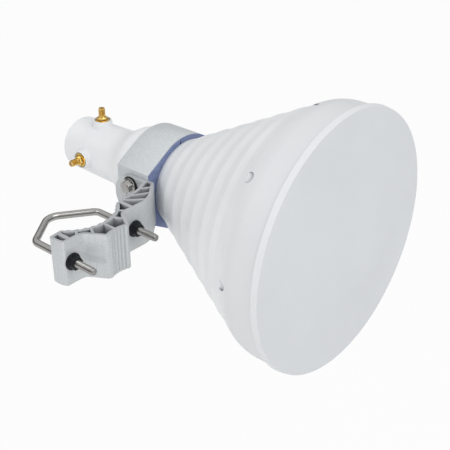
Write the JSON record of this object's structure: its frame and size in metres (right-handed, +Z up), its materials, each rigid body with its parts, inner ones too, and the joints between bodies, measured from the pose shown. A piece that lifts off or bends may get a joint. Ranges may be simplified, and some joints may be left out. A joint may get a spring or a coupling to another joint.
{
  "type": "horn antenna",
  "caption": "White conical horn antenna with fluted body, radome cap and coaxial ports, held in a tilting collar on a webbed aluminium mast bracket with a V-bolt.",
  "frame": {"origin": "On the mast's axis in the clamp, at half the height of the bracket.", "axes": "+Z up along the mast, -Y the way the horn looks, +X from the mast to the horn."},
  "size_m": [0.2806, 0.3106, 0.228],
  "materials": {
    "white_plastic": "smooth satin white ABS",
    "black_rubber": "moulded EPDM",
    "white_paint": "satin white powder coat on cast aluminium",
    "blue_plastic": "moulded slate blue nylon",
    "blasted_aluminium": "bead-blasted grey",
    "extruded_aluminium": "clear anodised extrusion, sawn ends",
    "stainless_steel": "plain stainless",
    "black_zinc": "black zinc plate",
    "gold_plate": "gold plated brass",
    "white_ptfe": "PTFE dielectric",
    "bare_brass": "turned brass"
  },
  "bodies": {
    "mast_bracket": {"bracket": "extruded_aluminium", "clamp_nuts": "black_zinc"},
    "rod": {"v_bolt": "stainless_steel"},
    "tilt_collar": {"collar": "blasted_aluminium", "liner_ring": "blue_plastic", "tilt_bolts": "stainless_steel", "tilt_washers": "black_zinc"},
    "horn": {"horn_body": "white_paint", "radome_cap": "white_plastic", "radome_gasket": "black_rubber", "top_connector": "gold_plate", "top_insulator": "white_ptfe", "top_contact": "gold_plate", "top_probe": "bare_brass", "top_seal": "black_rubber", "side_connector": "gold_plate", "side_insulator": "white_ptfe", "side_contact": "gold_plate", "side_probe": "bare_brass", "side_seal": "black_rubber"}
  },
  "joints": [
    {"name": "elevation_tilt", "type": "hinge", "parent": "mast_bracket", "child": "tilt_collar", "pos_m": [0.0762, 0.012, 0], "axis": [1, 0, 0], "range_deg": [-25, 25]},
    {"name": "polarisation_roll", "type": "hinge", "parent": "tilt_collar", "child": "horn", "pos_m": [0.1242, 0.012, 0], "axis": [0, 1, 0], "continuous": true},
    {"name": "clamp_slide", "type": "slide", "parent": "mast_bracket", "child": "rod", "axis": [0, -1, 0], "range_m": [0, 0.022]}
  ]
}
